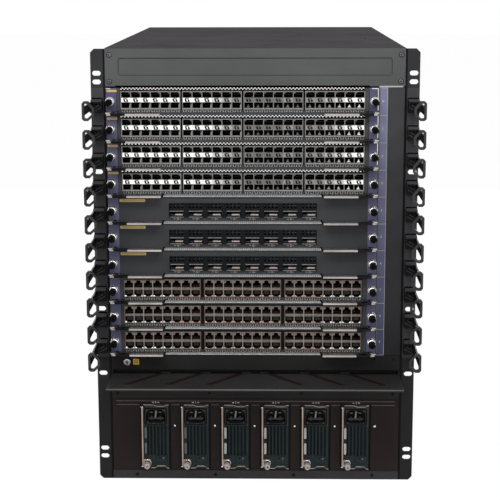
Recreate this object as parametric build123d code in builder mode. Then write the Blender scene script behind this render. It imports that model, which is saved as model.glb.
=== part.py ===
from build123d import *
import os

os.makedirs("parts", exist_ok=True)

# Modular chassis switch for a 19-inch rack. X to the right, Y to the rear, Z up, in millimetres.
# Distances called "y" are measured rearwards from the front face of the rack ears.

# Overall sizes
depth = 700.0
sheet = 2.0
panel = 3.0
seat_gap = 0.3
edge_gap = 0.5

# Rack ears, for racks with the standard 19-inch hole spacing
rack_unit = 44.45
ear_span = 482.6
ear_overhang = 21.3
ear_sheet = 2.2
ear_leg = 1.5
ear_leg_length = 45.0
ear_corner = 5.5
hole_margin = 8.75
hole_step = 12.7
slot_length = 12.5
slot_width = 7.0
low_pair_z = 43.05
pair_rise_units = 13
single_rises = (127.0, 228.6, 438.15)

# Cable guides
guide_width = 17.4
guide_reach = 96.0
guide_bar = 3.4
guide_ring_height = 27.6
guide_ring_thickness = 6.0
guide_ring_corner = 2.9
guide_ring_top = 8.8
guide_bulge_low = 8.0
guide_bulge_high = 17.7
guide_arm_height = 8.0
guide_base_height = 19.0
guide_base_depth = 11.0
guide_base_slope = 4.0
guide_base_rise = 4.6
guide_ring_rise = 2.2

# Card slots
small_card_count = 4
large_card_count = 3
jack_card_count = 3
slot_count = small_card_count + large_card_count + jack_card_count
slot_pitch = 40.64
card_gap = 0.7
card_height = slot_pitch - card_gap
board_sheet = 1.6
board_rise = 6.0
board_inset_left = 13.8
board_inset_right = 12.2
board_depth = 435.0
connector_depth = 10.0
connector_height = 12.0
connector_inset = 20.0

# Port cages
cage_proud = 1.2
cage_depth = 24.0
port_depth = 16.0
small_group_count = 4
small_group_gap = 2.4
small_group_left = 21.9
small_group_right = 20.3
small_column_count = 6
small_port_wall = 1.25
small_port_rim = 0.975
small_port_height = 8.4
small_low_row = 14.6
small_row_pitch = 15.5
small_cage_height = 27.6
jack_group_count = 3
jack_group_gap = 5.2
jack_group_left = 21.2
jack_group_right = 21.8
jack_column_count = 8
jack_wall = 2.2
jack_rim = 1.5
jack_height = 9.4
jack_low_row = 14.8
jack_row_pitch = 15.0
jack_cage_height = 27.2
cage_middle = 22.2
large_port_count = 8
large_port_pitch = 28.2
large_port_width = 19.6
large_port_height = 8.5
large_port_rise = 14.8
large_port_shift = 0.6
large_cage_height = 22.0
large_cage_middle = 20.0

# Captive screws and levers of the cards
screw_inset = 6.0
knob_radius = 4.6
knob_length = 20.0
knob_side_count = 6
lever_pivot_y = 6.5
lever_length = 74.0
lever_back = 3.5
lever_front = 7.5
lever_boss = 5.0
lever_neck = 20.0
lever_thickness = 2.8
lever_rise = 0.4
bracket_sheet = 1.2
bracket_width = 12.0
bracket_depth = 11.5

# Card cage, midplane and column
cage_wall = 2.0
cage_skirt = 6.0
rail_ledge = 5.0
rail_sheet = 2.0
midplane_sheet = 3.0
column_width = 37.1
label_width = 11.8
label_sheet = 0.6

# Fascia, lower rail and tray
fascia_gap = 2.1
fascia_height = 55.0
fascia_drop = 1.0
cover_flange = 12.0
plate_margin = 19.0
plate_height = 26.1
plate_rise = 15.7
plate_recess = 1.0
plate_corner = 2.5
rail_height = 23.2
jack_inset = 24.3
jack_rise = 11.7
jack_barrel = 4.0
jack_fit = 0.1
jack_bore = 2.0
jack_flange = 5.2
jack_side_count = 6
jack_proud = 1.5
jack_socket_depth = 13.5
jack_length = 16.0
tray_sheet = 3.0
tray_strip = 34.9
tray_reach = 73.0
tray_back = 12.0
tray_lip = 7.0
tray_lip_gap = 0.8
tray_slot_length = 78.0
tray_slot_width = 8.0
tray_slot_margin = 44.5
tray_slot_y = -22.0
tray_slot_count = 3
tray_slot_angle = 45.0

# Power section
base_strip = 13.3
power_band = 9.7
psu_count = 6
psu_side_margin = 35.5
psu_width = 44.5
psu_height = 103.7
psu_low_z = 16.2
psu_depth = 300.0
psu_face_y = 0.5
window_gap = 0.9
bay_wall = 1.5
shelf_sheet = 2.0
shelf_depth = 316.0
runner_width = 20.0
runner_spread = 150.0
grille_slot_count = 6
grille_pitch = 5.4
grille_slot = 3.0
grille_height = 48.0
grille_rise = 46.0
grille_x = 1.2
grille_depth = 10.0
inlet_width = 34.0
inlet_height = 26.0
inlet_rise = 84.6
inlet_x = 0.2
inlet_proud = 1.5
inlet_wall = 2.0
inlet_chamfer = 5.0
inlet_depth = 20.0
prong_width = 7.0
prong_sheet = 2.0
prong_length = 14.0
prong_spread = 6.8
prong_offset = 4.5
lamp_box_width = 17.0
lamp_box_height = 11.0
lamp_box_x = 9.0
lamp_box_rise = 15.7
lamp_box_proud = 1.0

# Lever of a power module
pull_width = 3.3
pull_depth = 6.0
pull_top = 102.0
pull_bottom = 4.8
pull_foot_width = 14.0
pull_foot_height = 11.0
pull_foot_sheet = 2.0
pull_screw_radius = 3.5
pull_screw_side_count = 6
pull_end_chamfer = 2.6
pull_screw_length = 20.0
pull_pivot_rise = 99.5
pull_lug = 1.6
pull_lug_size = 7.0

# Fan trays at the rear
fan_tray_count = 2
fan_count = 2
fan_side_count = 10
fan_rim = 5.5
fan_spacing = 19.0
fan_side_margin = 18.0
fan_frame_depth = 90.0
fan_frame_wall = 2.0
fan_panel_margin = 10.5
fan_panel_sheet = 2.0
fan_tray_gap = 4.0
fan_hub_radius = 36.0
fan_hub_depth = 50.0
fan_spoke = 7.0
handle_length = 96.0
handle_bar = 7.0
handle_reach = 26.0
handle_width = 12.0

# Places worked out from the sizes above
ear_edge = ear_span / 2
half = ear_edge - ear_overhang
inner = half - sheet
face_half = half - edge_gap
rear_reach = depth + seat_gap + fan_panel_sheet + handle_reach
face_y = (guide_reach - rear_reach) / 2
panel_seat = panel + seat_gap
power_low_z = base_strip + seat_gap
shelf_floor_z = psu_low_z - seat_gap
psu_top_z = psu_low_z + psu_height
shelf_deck_z = psu_top_z + seat_gap
power_top_z = psu_top_z + power_band
tray_top_z = power_top_z + edge_gap + tray_strip + tray_sheet
tray_wall_y = tray_back + tray_sheet
rail_bottom_z = tray_top_z + tray_lip + tray_lip_gap
slots_low_z = rail_bottom_z + rail_height + edge_gap
slots_top_z = slots_low_z + slot_count * slot_pitch
fascia_low_z = slots_top_z + fascia_gap
fascia_top_z = fascia_low_z + fascia_height
height = fascia_top_z + fascia_drop
cover_z = height - sheet
card_left = -face_half
column_edge = face_half - column_width
card_right = column_edge - edge_gap
board_left = card_left + board_inset_left
board_right = card_right - board_inset_right
jack_x = jack_inset - half
jack_z = rail_bottom_z + jack_rise
card_width = card_right - card_left
card_middle = (card_left + card_right) / 2
plate_width = 2 * (half - plate_margin)
psu_pitch = 2 * (half - psu_side_margin) / psu_count
tray_slot_last = face_half - tray_slot_margin
tray_slot_places = [tray_slot_last - index * psu_pitch for index in range(tray_slot_count)]
fan_tray_pitch = (2 * (half - fan_side_margin) + fan_tray_gap) / fan_tray_count
fan_panel_width = fan_tray_pitch - fan_tray_gap
fan_frame_width = fan_panel_width - 2 * fan_panel_margin
fan_radius = fan_frame_width / 2 - fan_rim
fan_pitch = 2 * fan_radius + fan_spacing
fan_frame_height = fan_count * fan_pitch
fan_panel_height = fan_frame_height + 2 * fan_panel_margin
fan_tray_z = (slots_low_z + slots_top_z) / 2


def upright(y):
    """Upright plane at a distance behind the ear face; extruding goes to the front."""
    return Plane.XZ.offset(-(face_y + y))


def area(x0, x1, z0, z1, mode=Mode.ADD):
    """Rectangle of a sketch between two corners."""
    with Locations(((x0 + x1) / 2, (z0 + z1) / 2)):
        Rectangle(x1 - x0, z1 - z0, mode=mode)


def block(x0, x1, y0, y1, z0, z1, mode=Mode.ADD):
    """Plain block of a part between two corners, its y behind the ear face."""
    middle = ((x0 + x1) / 2, face_y + (y0 + y1) / 2, (z0 + z1) / 2)
    with Locations(middle):
        Box(x1 - x0, y1 - y0, z1 - z0, mode=mode)


def columns(count, pitch):
    """Places of a row of things about its middle."""
    return [(index - (count - 1) / 2) * pitch for index in range(count)]


def save(part, name):
    part.label = name
    export_step(part, f"parts/{name}.step")


def save_shifted(part, name, x=0.0, z=0.0):
    save(part.moved(Location((x, 0, z))), name)


# Chassis shell: one folded sheet for sides and base, with a rear wall and a front strip
fan_tray_centres = columns(fan_tray_count, fan_tray_pitch)
with BuildPart() as chassis_shell:
    with BuildSketch(upright(depth)):
        area(-half, half, 0, cover_z)
        area(-inner, inner, sheet, height, mode=Mode.SUBTRACT)
    extrude(amount=depth - panel)
    with BuildSketch(upright(depth)):
        area(-inner, inner, sheet, cover_z)
        with Locations(*[(centre, fan_tray_z) for centre in fan_tray_centres]):
            Rectangle(fan_frame_width + 2 * seat_gap, fan_frame_height + 2 * seat_gap, mode=Mode.SUBTRACT)
    extrude(amount=sheet)
    block(-half, half, 0, panel, 0, base_strip)
save(chassis_shell.part, "chassis_shell")

# Top cover with a flange folded down inside each side wall
with BuildPart() as top_cover:
    block(-half, half, panel + edge_gap, depth, cover_z, height)
    for side in (-1, 1):
        inside, outside = sorted((side * (inner - sheet), side * inner))
        block(inside, outside, panel + edge_gap, depth - sheet, cover_z - cover_flange, cover_z)
save(top_cover.part, "top_cover")

# Top fascia with the shallow bare nameplate
with BuildPart() as top_fascia:
    with BuildSketch(upright(panel)):
        area(-half, half, fascia_low_z, fascia_top_z)
    extrude(amount=panel)
    with BuildSketch(upright(0)):
        with Locations((0, fascia_low_z + plate_rise + plate_height / 2)):
            Rectangle(plate_width, plate_height)
        chamfer(vertices(), plate_corner)
    extrude(amount=-plate_recess, mode=Mode.SUBTRACT)
save(top_fascia.part, "top_fascia")

# Rack ears: an angle with slotted holes, its outer corners cut off. The outermost slots have round
# ends and locate the chassis in the rack; the ones between them have cut corners.
low_slots = [low_pair_z - hole_step / 2, low_pair_z + hole_step / 2]
high_slots = [rise + pair_rise_units * rack_unit for rise in low_slots]
rack_slots = [low_slots[0], high_slots[1]]
spare_slots = [low_slots[1], high_slots[0]] + [low_pair_z + rise for rise in single_rises]
for side, name in ((-1, "rack_ear_left"), (1, "rack_ear_right")):
    slot_x = side * (ear_edge - hole_margin)
    with BuildPart() as rack_ear:
        with BuildSketch(upright(ear_sheet)):
            inside, outside = sorted((side * half, side * ear_edge))
            area(inside, outside, 0, fascia_top_z)
            chamfer([v for v in vertices() if abs(v.X) > half + ear_leg], ear_corner)
            with Locations(*[(slot_x, z) for z in rack_slots]):
                SlotOverall(slot_length, slot_width, mode=Mode.SUBTRACT)
        extrude(amount=ear_sheet)
        with BuildSketch(upright(ear_sheet)):
            with Locations(*[(slot_x, z) for z in spare_slots]):
                Rectangle(slot_length, slot_width)
            chamfer(vertices(), slot_width / 3)
        extrude(amount=ear_sheet, mode=Mode.SUBTRACT)
        inside, outside = sorted((side * half, side * (half + ear_leg)))
        block(inside, outside, 0, ear_leg_length, 0, fascia_top_z)
    save(rack_ear.part, name)

# Cable guides: a screwed block, an arm and a closed ring, one for each card slot
with BuildPart() as guide:
    outer_x = -ear_edge
    inner_x = outer_x + guide_width
    with BuildSketch(Plane.YZ.offset(outer_x)):
        with BuildLine():
            Polyline(
                (face_y, 0),
                (face_y, guide_base_height),
                (face_y - guide_base_slope, guide_base_height),
                (face_y - guide_base_depth, guide_base_height - guide_base_slope),
                (face_y - guide_base_depth, 0),
                close=True,
            )
        make_face()
    extrude(amount=guide_width)
    ring_low = guide_base_height / 2 + guide_ring_rise - guide_ring_height / 2
    with BuildSketch(upright(guide_ring_thickness - guide_reach)):
        with BuildLine():
            Polyline(
                (outer_x, ring_low + guide_ring_corner),
                (outer_x, ring_low + guide_ring_height - guide_ring_corner),
                (outer_x + guide_ring_corner, ring_low + guide_ring_height),
                (outer_x + guide_ring_top, ring_low + guide_ring_height),
                (inner_x, ring_low + guide_bulge_high),
                (inner_x, ring_low + guide_bulge_low),
                (outer_x + guide_ring_top, ring_low),
                (outer_x + guide_ring_corner, ring_low),
                close=True,
            )
        make_face()
        offset(amount=-guide_bar, kind=Kind.INTERSECTION, mode=Mode.SUBTRACT)
    extrude(amount=guide_ring_thickness)
    arm_low = guide_base_height / 2 - guide_arm_height / 2
    block(outer_x, outer_x + guide_bar, -guide_reach + guide_ring_thickness, -guide_base_depth,
          arm_low, arm_low + guide_arm_height)
guide_rises = [slots_low_z + guide_base_rise + index * slot_pitch for index in range(slot_count)]
with BuildPart() as cable_guides_left:
    with Locations(*[(0, 0, rise) for rise in guide_rises]):
        add(guide.part)
with BuildPart() as cable_guides_right:
    mirror(cable_guides_left.part, about=Plane.YZ)
save(cable_guides_left.part, "cable_guides_left")
save(cable_guides_right.part, "cable_guides_right")

# Card cage: a front flange, a sheet duct and a ledge on both sides under every board
duct_left = board_left - seat_gap
duct_right = board_right + seat_gap
duct_low = slots_low_z - cage_wall
duct_high = slots_top_z + cage_wall
cage_rear_y = panel + board_depth + midplane_sheet
with BuildPart() as card_cage:
    with BuildSketch(upright(cage_rear_y)):
        area(duct_left - cage_wall, duct_right + cage_wall, duct_low - cage_wall, duct_high)
        area(duct_left, duct_right, duct_low, slots_top_z, mode=Mode.SUBTRACT)
    extrude(amount=cage_rear_y - panel_seat)
    with BuildSketch(upright(panel_seat + cage_wall)):
        area(-inner, inner, slots_low_z - cage_skirt, duct_high)
        area(duct_left, duct_right, duct_low, slots_top_z, mode=Mode.SUBTRACT)
    extrude(amount=cage_wall)
    for index in range(slot_count):
        ledge_top = slots_low_z + index * slot_pitch + card_gap / 2 + board_rise - seat_gap
        for wall_x, direction in ((duct_left, 1), (duct_right, -1)):
            inside, outside = sorted((wall_x, wall_x + direction * rail_ledge))
            block(inside, outside, panel_seat + cage_wall, cage_rear_y - midplane_sheet - connector_depth,
                  ledge_top - rail_sheet, ledge_top)
save(card_cage.part, "card_cage")

# Midplane: an upright board behind the cards, with one connector for each
midplane_y = cage_rear_y
connector_left = board_left + connector_inset
connector_right = board_right - connector_inset
with BuildPart() as midplane:
    block(duct_left - cage_wall, duct_right + cage_wall, midplane_y, midplane_y + midplane_sheet,
          duct_low - cage_wall, duct_high)
    for index in range(slot_count):
        low = slots_low_z + index * slot_pitch + card_gap / 2 + board_rise + board_sheet
        block(connector_left, connector_right, panel + board_depth + seat_gap, midplane_y,
              low, low + connector_height)
save(midplane.part, "midplane")

# Side column beside the cards, with a shallow recess for the strip of slot numbers
with BuildPart() as side_column:
    block(column_edge, face_half, 0, panel, slots_low_z, slots_top_z)
    block(column_edge, column_edge + label_width, 0, label_sheet, slots_low_z, slots_top_z,
          mode=Mode.SUBTRACT)
save(side_column.part, "side_column")

with BuildPart() as slot_label_strip:
    block(column_edge, column_edge + label_width, 0, label_sheet, slots_low_z, slots_top_z)
save(slot_label_strip.part, "slot_label_strip")

# Lower rail under the cards, folded back along its lower edge, with the strap jack's hole
with BuildPart() as lower_rail:
    block(-face_half, face_half, 0, panel, rail_bottom_z, rail_bottom_z + rail_height)
    block(-inner, inner, panel, tray_wall_y, rail_bottom_z, rail_bottom_z + sheet)
    with BuildSketch(upright(0)):
        with Locations((jack_x, jack_z)):
            RegularPolygon(jack_barrel + jack_fit, jack_side_count)
    extrude(amount=-panel, mode=Mode.SUBTRACT)
save(lower_rail.part, "lower_rail")

# Wrist-strap jack: a six-sided bush with a flange and a blind round socket
with BuildPart() as strap_jack:
    with BuildSketch(upright(jack_length - jack_proud)):
        with Locations((jack_x, jack_z)):
            RegularPolygon(jack_barrel, jack_side_count)
    extrude(amount=jack_length - jack_proud)
    with BuildSketch(upright(0)):
        with Locations((jack_x, jack_z)):
            RegularPolygon(jack_flange, jack_side_count)
    extrude(amount=jack_proud)
    with BuildSketch(upright(-jack_proud)):
        with Locations((jack_x, jack_z)):
            Circle(jack_bore)
    extrude(amount=-jack_socket_depth, mode=Mode.SUBTRACT)
save(strap_jack.part, "strap_jack")

# Cable tray: a shelf with diagonal slots, an upturned rear lip and a front strip below it
with BuildPart() as cable_tray:
    with BuildSketch(Plane.XY.offset(tray_top_z - tray_sheet)):
        with Locations((0, face_y + (panel - tray_reach) / 2)):
            Rectangle(2 * face_half, panel + tray_reach)
        with Locations((0, face_y + (panel + tray_back) / 2)):
            Rectangle(2 * inner, tray_back - panel)
        for slot_x in tray_slot_places:
            for side in (-1, 1):
                place = (side * slot_x, face_y + tray_slot_y, 0)
                with Locations(Location(place, (0, 0, -side * tray_slot_angle))):
                    Rectangle(tray_slot_length, tray_slot_width, mode=Mode.SUBTRACT)
    extrude(amount=tray_sheet)
    block(-inner, inner, tray_back, tray_wall_y, tray_top_z - tray_sheet, tray_top_z + tray_lip)
    block(-face_half, face_half, 0, panel, power_top_z + edge_gap, tray_top_z - tray_sheet)
save(cable_tray.part, "cable_tray")

# Power fascia with a window for every power module
psu_centres = columns(psu_count, psu_pitch)
with BuildPart() as power_fascia:
    with BuildSketch(upright(panel)):
        area(-face_half, face_half, power_low_z, power_top_z)
        with Locations(*[(centre, psu_low_z + psu_height / 2) for centre in psu_centres]):
            Rectangle(psu_width + 2 * window_gap, psu_height + 2 * window_gap, mode=Mode.SUBTRACT)
    extrude(amount=panel)
save(power_fascia.part, "power_fascia")

# Power shelf: floor on runners, deck, bay walls, connector board and an upright flange for the tray
shelf_top_z = rail_bottom_z + 2 * sheet
with BuildPart() as power_shelf:
    block(-inner, inner, panel, shelf_depth, shelf_floor_z - shelf_sheet, shelf_floor_z)
    block(-inner, inner, panel, shelf_depth, shelf_deck_z, shelf_deck_z + shelf_sheet)
    for centre in psu_centres:
        for direction in (-1, 1):
            wall_x = centre + direction * (psu_width / 2 + seat_gap)
            inside, outside = sorted((wall_x, wall_x + direction * bay_wall))
            block(inside, outside, panel, shelf_depth, shelf_floor_z, shelf_deck_z)
    block(-inner, inner, shelf_depth - shelf_sheet, shelf_depth, shelf_floor_z, shelf_deck_z)
    block(-inner, inner, tray_wall_y, tray_wall_y + shelf_sheet, shelf_deck_z, shelf_top_z)
    for x in (-runner_spread, 0, runner_spread):
        block(x - runner_width / 2, x + runner_width / 2, panel, shelf_depth, sheet,
              shelf_floor_z - shelf_sheet)
save(power_shelf.part, "power_shelf")

# Card carrier shared by all cards: panel, board, connector, captive screws and lever brackets
bracket_low = lever_rise + lever_thickness + seat_gap
screw_xs = (card_left + screw_inset, card_right - screw_inset)
with BuildPart() as carrier:
    block(card_left, card_right, 0, panel, 0, card_height)
    block(board_left, board_right, panel, panel + board_depth, board_rise, board_rise + board_sheet)
    block(connector_left, connector_right, panel + board_depth - connector_depth, panel + board_depth,
          board_rise + board_sheet, board_rise + board_sheet + connector_height)
    with BuildSketch(upright(0)):
        with Locations(*[(x, card_height / 2) for x in screw_xs]):
            RegularPolygon(knob_radius, knob_side_count)
    extrude(amount=knob_length)
    for x in screw_xs:
        block(x - bracket_width / 2, x + bracket_width / 2, -bracket_depth, 0,
              bracket_low, bracket_low + bracket_sheet)


def port_groups(count, left, right, gap):
    """Centres and width of equal groups that fill the card between two end margins."""
    width = (card_width - left - right - (count - 1) * gap) / count
    centres = [card_left + left + width / 2 + index * (width + gap) for index in range(count)]
    return centres, width


def port_card(block_xs, block_z, block_size, port_xs, port_zs, port_size):
    """Card with cage blocks at the given places, each with columns and rows of ports."""
    with BuildPart() as card:
        add(carrier.part)
        with BuildSketch(upright(cage_depth)):
            with Locations(*[(x, block_z) for x in block_xs]):
                Rectangle(*block_size)
        extrude(amount=cage_depth + cage_proud)
        with BuildSketch(upright(-cage_proud)):
            with Locations(*[(block + x, z) for block in block_xs for x in port_xs for z in port_zs]):
                Rectangle(*port_size)
        extrude(amount=-port_depth, mode=Mode.SUBTRACT)
    return card.part


# Cards with small ports and with jacks: groups that share the width of the card
small_xs, small_width = port_groups(small_group_count, small_group_left, small_group_right, small_group_gap)
small_pitch = (small_width - 2 * small_port_rim + small_port_wall) / small_column_count
small_port_card = port_card(
    small_xs, cage_middle, (small_width, small_cage_height),
    columns(small_column_count, small_pitch), (small_low_row, small_low_row + small_row_pitch),
    (small_pitch - small_port_wall, small_port_height),
)

jack_xs, jack_group_width = port_groups(jack_group_count, jack_group_left, jack_group_right, jack_group_gap)
jack_pitch = (jack_group_width - 2 * jack_rim + jack_wall) / jack_column_count
jack_card = port_card(
    jack_xs, cage_middle, (jack_group_width, jack_cage_height),
    columns(jack_column_count, jack_pitch), (jack_low_row, jack_low_row + jack_row_pitch),
    (jack_pitch - jack_wall, jack_height),
)

# Cards with large ports: one wide cage block near the middle
large_block_width = large_port_count * large_port_pitch
large_port_card = port_card(
    [card_middle + large_port_shift], large_cage_middle, (large_block_width, large_cage_height),
    columns(large_port_count, large_port_pitch), (large_port_rise,),
    (large_port_width, large_port_height),
)

card_kinds = [small_port_card] * small_card_count + [large_port_card] * large_card_count
card_kinds += [jack_card] * jack_card_count
for number, kind in enumerate(card_kinds):
    rise = slots_low_z + (slot_count - 1 - number) * slot_pitch + card_gap / 2
    save_shifted(kind, f"card_{number}", z=rise)

# Ejector levers of the cards, flat plates that turn about an upright pivot
with BuildPart() as lever_left:
    pivot_x = screw_xs[0]
    pivot_y = face_y - lever_pivot_y
    with BuildSketch(Plane.XY.offset(lever_rise)):
        with BuildLine():
            Polyline(
                (pivot_x - lever_boss, pivot_y - lever_boss / 2),
                (pivot_x - lever_boss, pivot_y + lever_boss / 2),
                (pivot_x - lever_boss / 2, pivot_y + lever_boss),
                (pivot_x + lever_neck, pivot_y + lever_back),
                (pivot_x + lever_length, pivot_y + lever_back),
                (pivot_x + lever_length, pivot_y - lever_front),
                (pivot_x + lever_neck, pivot_y - lever_front),
                (pivot_x - lever_boss / 2, pivot_y - lever_boss),
                close=True,
            )
        make_face()
    extrude(amount=lever_thickness)
with BuildPart() as lever_right:
    mirror(lever_left.part, about=Plane.YZ.offset(card_middle))
for number in range(slot_count):
    rise = slots_low_z + (slot_count - 1 - number) * slot_pitch + card_gap / 2
    save_shifted(lever_left.part, f"lever_left_{number}", z=rise)
    save_shifted(lever_right.part, f"lever_right_{number}", z=rise)

# Power module: case with an inlet, a grille of upright ribs, a lamp box and the lever's two lugs
psu_left = -psu_width / 2
pull_x = psu_left + pull_width
pivot_z = psu_low_z + pull_pivot_rise
with BuildPart() as power_module:
    block(psu_left, psu_width / 2, psu_face_y, psu_face_y + psu_depth, psu_low_z, psu_low_z + psu_height)
    with BuildSketch(upright(psu_face_y)):
        with Locations((inlet_x, psu_low_z + inlet_rise)):
            Rectangle(inlet_width, inlet_height)
    extrude(amount=inlet_proud)
    with BuildSketch(upright(psu_face_y - inlet_proud)):
        with Locations((inlet_x, psu_low_z + inlet_rise)):
            Rectangle(inlet_width - 2 * inlet_wall, inlet_height - 2 * inlet_wall)
        chamfer(vertices().group_by(Axis.Y)[-1], inlet_chamfer)
    extrude(amount=-inlet_depth, mode=Mode.SUBTRACT)
    with BuildSketch(upright(psu_face_y - inlet_proud + inlet_depth)):
        with Locations((inlet_x, psu_low_z + inlet_rise + prong_offset)):
            Rectangle(prong_sheet, prong_width)
        with Locations((inlet_x - prong_spread, psu_low_z + inlet_rise - prong_offset),
                       (inlet_x + prong_spread, psu_low_z + inlet_rise - prong_offset)):
            Rectangle(prong_sheet, prong_width)
    extrude(amount=prong_length)
    with BuildSketch(upright(psu_face_y)):
        grille_xs = [grille_x + x for x in columns(grille_slot_count, grille_pitch)]
        with Locations(*[(x, psu_low_z + grille_rise) for x in grille_xs]):
            Rectangle(grille_slot, grille_height)
    extrude(amount=-grille_depth, mode=Mode.SUBTRACT)
    block(lamp_box_x - lamp_box_width / 2, lamp_box_x + lamp_box_width / 2,
          psu_face_y - lamp_box_proud, psu_face_y,
          psu_low_z + lamp_box_rise - lamp_box_height / 2, psu_low_z + lamp_box_rise + lamp_box_height / 2)
    lug_x = pull_x + seat_gap
    block(lug_x, lug_x + pull_lug, psu_face_y - pull_lug_size, psu_face_y,
          pivot_z - pull_lug_size / 2, pivot_z + pull_lug_size / 2)

# Lever of a power module: an upright strip with a foot that carries a captive screw
with BuildPart() as pull_lever:
    strip_rear = face_y + psu_face_y - seat_gap
    strip_low = psu_low_z + pull_bottom
    strip_high = psu_low_z + pull_top
    with BuildSketch(Plane.YZ.offset(psu_left)):
        with BuildLine():
            Polyline(
                (strip_rear, strip_low),
                (strip_rear, strip_high - pull_end_chamfer),
                (strip_rear - pull_end_chamfer, strip_high),
                (strip_rear - pull_depth, strip_high),
                (strip_rear - pull_depth, strip_low),
                close=True,
            )
        make_face()
    extrude(amount=pull_width)
    foot_x = psu_left + pull_foot_width
    foot_rear = psu_face_y - seat_gap
    block(pull_x, foot_x, foot_rear - pull_foot_sheet, foot_rear, strip_low, strip_low + pull_foot_height)
    with BuildSketch(upright(foot_rear - pull_foot_sheet)):
        with Locations((foot_x - pull_screw_radius - edge_gap, strip_low + pull_foot_height / 2)):
            RegularPolygon(pull_screw_radius, pull_screw_side_count)
    extrude(amount=pull_screw_length - pull_foot_sheet)
for number, centre in enumerate(psu_centres):
    save_shifted(power_module.part, f"power_module_{number}", x=centre)
    save_shifted(pull_lever.part, f"power_lever_{number}", x=centre)

# Fan tray: rear panel with a window for each fan, motors on spokes, a frame behind and a handle
fan_heights = [fan_tray_z + shift for shift in columns(fan_count, fan_pitch)]
panel_y = depth + seat_gap
with BuildPart() as fan_tray:
    with BuildSketch(upright(panel_y + fan_panel_sheet)):
        with Locations((0, fan_tray_z)):
            Rectangle(fan_panel_width, fan_panel_height)
        with Locations(*[(0, z) for z in fan_heights]):
            RegularPolygon(fan_radius, fan_side_count, mode=Mode.SUBTRACT)
            Rectangle(2 * fan_radius, fan_spoke)
            Rectangle(fan_spoke, 2 * fan_radius)
            RegularPolygon(fan_hub_radius, fan_side_count)
    extrude(amount=fan_panel_sheet)
    with BuildSketch(upright(panel_y)):
        with Locations(*[(0, z) for z in fan_heights]):
            RegularPolygon(fan_hub_radius, fan_side_count)
    extrude(amount=fan_hub_depth)
    with BuildSketch(upright(panel_y)):
        with Locations((0, fan_tray_z)):
            Rectangle(fan_frame_width, fan_frame_height)
            Rectangle(fan_frame_width - 2 * fan_frame_wall, fan_frame_height - 2 * fan_frame_wall,
                      mode=Mode.SUBTRACT)
    extrude(amount=fan_frame_depth)
    with BuildSketch(Plane.YZ.offset(-handle_width / 2)):
        handle_y = face_y + panel_y + fan_panel_sheet
        with Locations((handle_y + handle_reach / 2, fan_tray_z)):
            Rectangle(handle_reach, handle_length)
        with Locations((handle_y + (handle_reach - handle_bar) / 2, fan_tray_z)):
            Rectangle(handle_reach - handle_bar, handle_length - 2 * handle_bar, mode=Mode.SUBTRACT)
    extrude(amount=handle_width)
for index, centre in enumerate(fan_tray_centres):
    save_shifted(fan_tray.part, f"fan_tray_{index}", x=centre)
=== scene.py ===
"""Looks of the modular chassis switch: materials, fittings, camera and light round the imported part."""
from functools import partialmethod
import math

import bmesh
import bpy
from mathutils import Matrix, Vector


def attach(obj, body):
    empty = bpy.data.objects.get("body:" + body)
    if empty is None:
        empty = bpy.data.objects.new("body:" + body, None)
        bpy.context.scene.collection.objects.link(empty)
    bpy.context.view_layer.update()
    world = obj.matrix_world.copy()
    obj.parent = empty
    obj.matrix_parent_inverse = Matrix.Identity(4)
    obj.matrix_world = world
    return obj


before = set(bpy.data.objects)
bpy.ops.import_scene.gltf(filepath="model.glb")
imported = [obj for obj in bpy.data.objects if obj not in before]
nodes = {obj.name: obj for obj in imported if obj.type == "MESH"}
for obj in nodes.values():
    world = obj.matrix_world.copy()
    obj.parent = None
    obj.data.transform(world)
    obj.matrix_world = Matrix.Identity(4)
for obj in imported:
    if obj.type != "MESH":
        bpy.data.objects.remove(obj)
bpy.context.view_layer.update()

# Sizes of the part in millimetres. "y" is measured rearwards from the front face of the rack ears.
EAR_Y, REAR_Y = -316.15, 700.0
SLOTS_LOW, SLOT_PITCH, SLOT_COUNT = 199.5, 40.64, 10
SLOTS_HIGH = SLOTS_LOW + SLOT_COUNT * SLOT_PITCH
KINDS = ["small"] * 4 + ["large"] * 3 + ["jack"] * 3  # cards from the top down
CARD_GAP, CARD_TOP = 0.35, 39.94
CARD_LEFT, CARD_RIGHT = -219.5, 181.9
CARD_MIDDLE = (CARD_LEFT + CARD_RIGHT) / 2
LAVENDER_LEFT, LAVENDER_RIGHT = -203.7, 167.9
SCREW_XS = (-213.5, 175.9)
CAGE_FRONT = -1.2
MODULE_PITCH, MODULE_LOW = 61.5, 16.2
MODULE_XS = [(index - 2.5) * MODULE_PITCH for index in range(6)]
HALF_WIDTH = 220.0
FAN_XS, FAN_MIDDLE = (-102.0, 102.0), 402.7
FAN_ZS = (FAN_MIDDLE - 93.5, FAN_MIDDLE + 93.5)


def card_low(number):
    return SLOTS_LOW + (SLOT_COUNT - 1 - number) * SLOT_PITCH + CARD_GAP


# Materials


def linear(*levels):
    """Colour from levels of 0 to 255, as they are read on a screen; one level alone is a grey."""
    shares = [level / 255 for level in (levels if len(levels) == 3 else levels * 3)]
    return tuple(s / 12.92 if s <= 0.04045 else ((s + 0.055) / 1.055) ** 2.4 for s in shares) + (1.0,)


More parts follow.
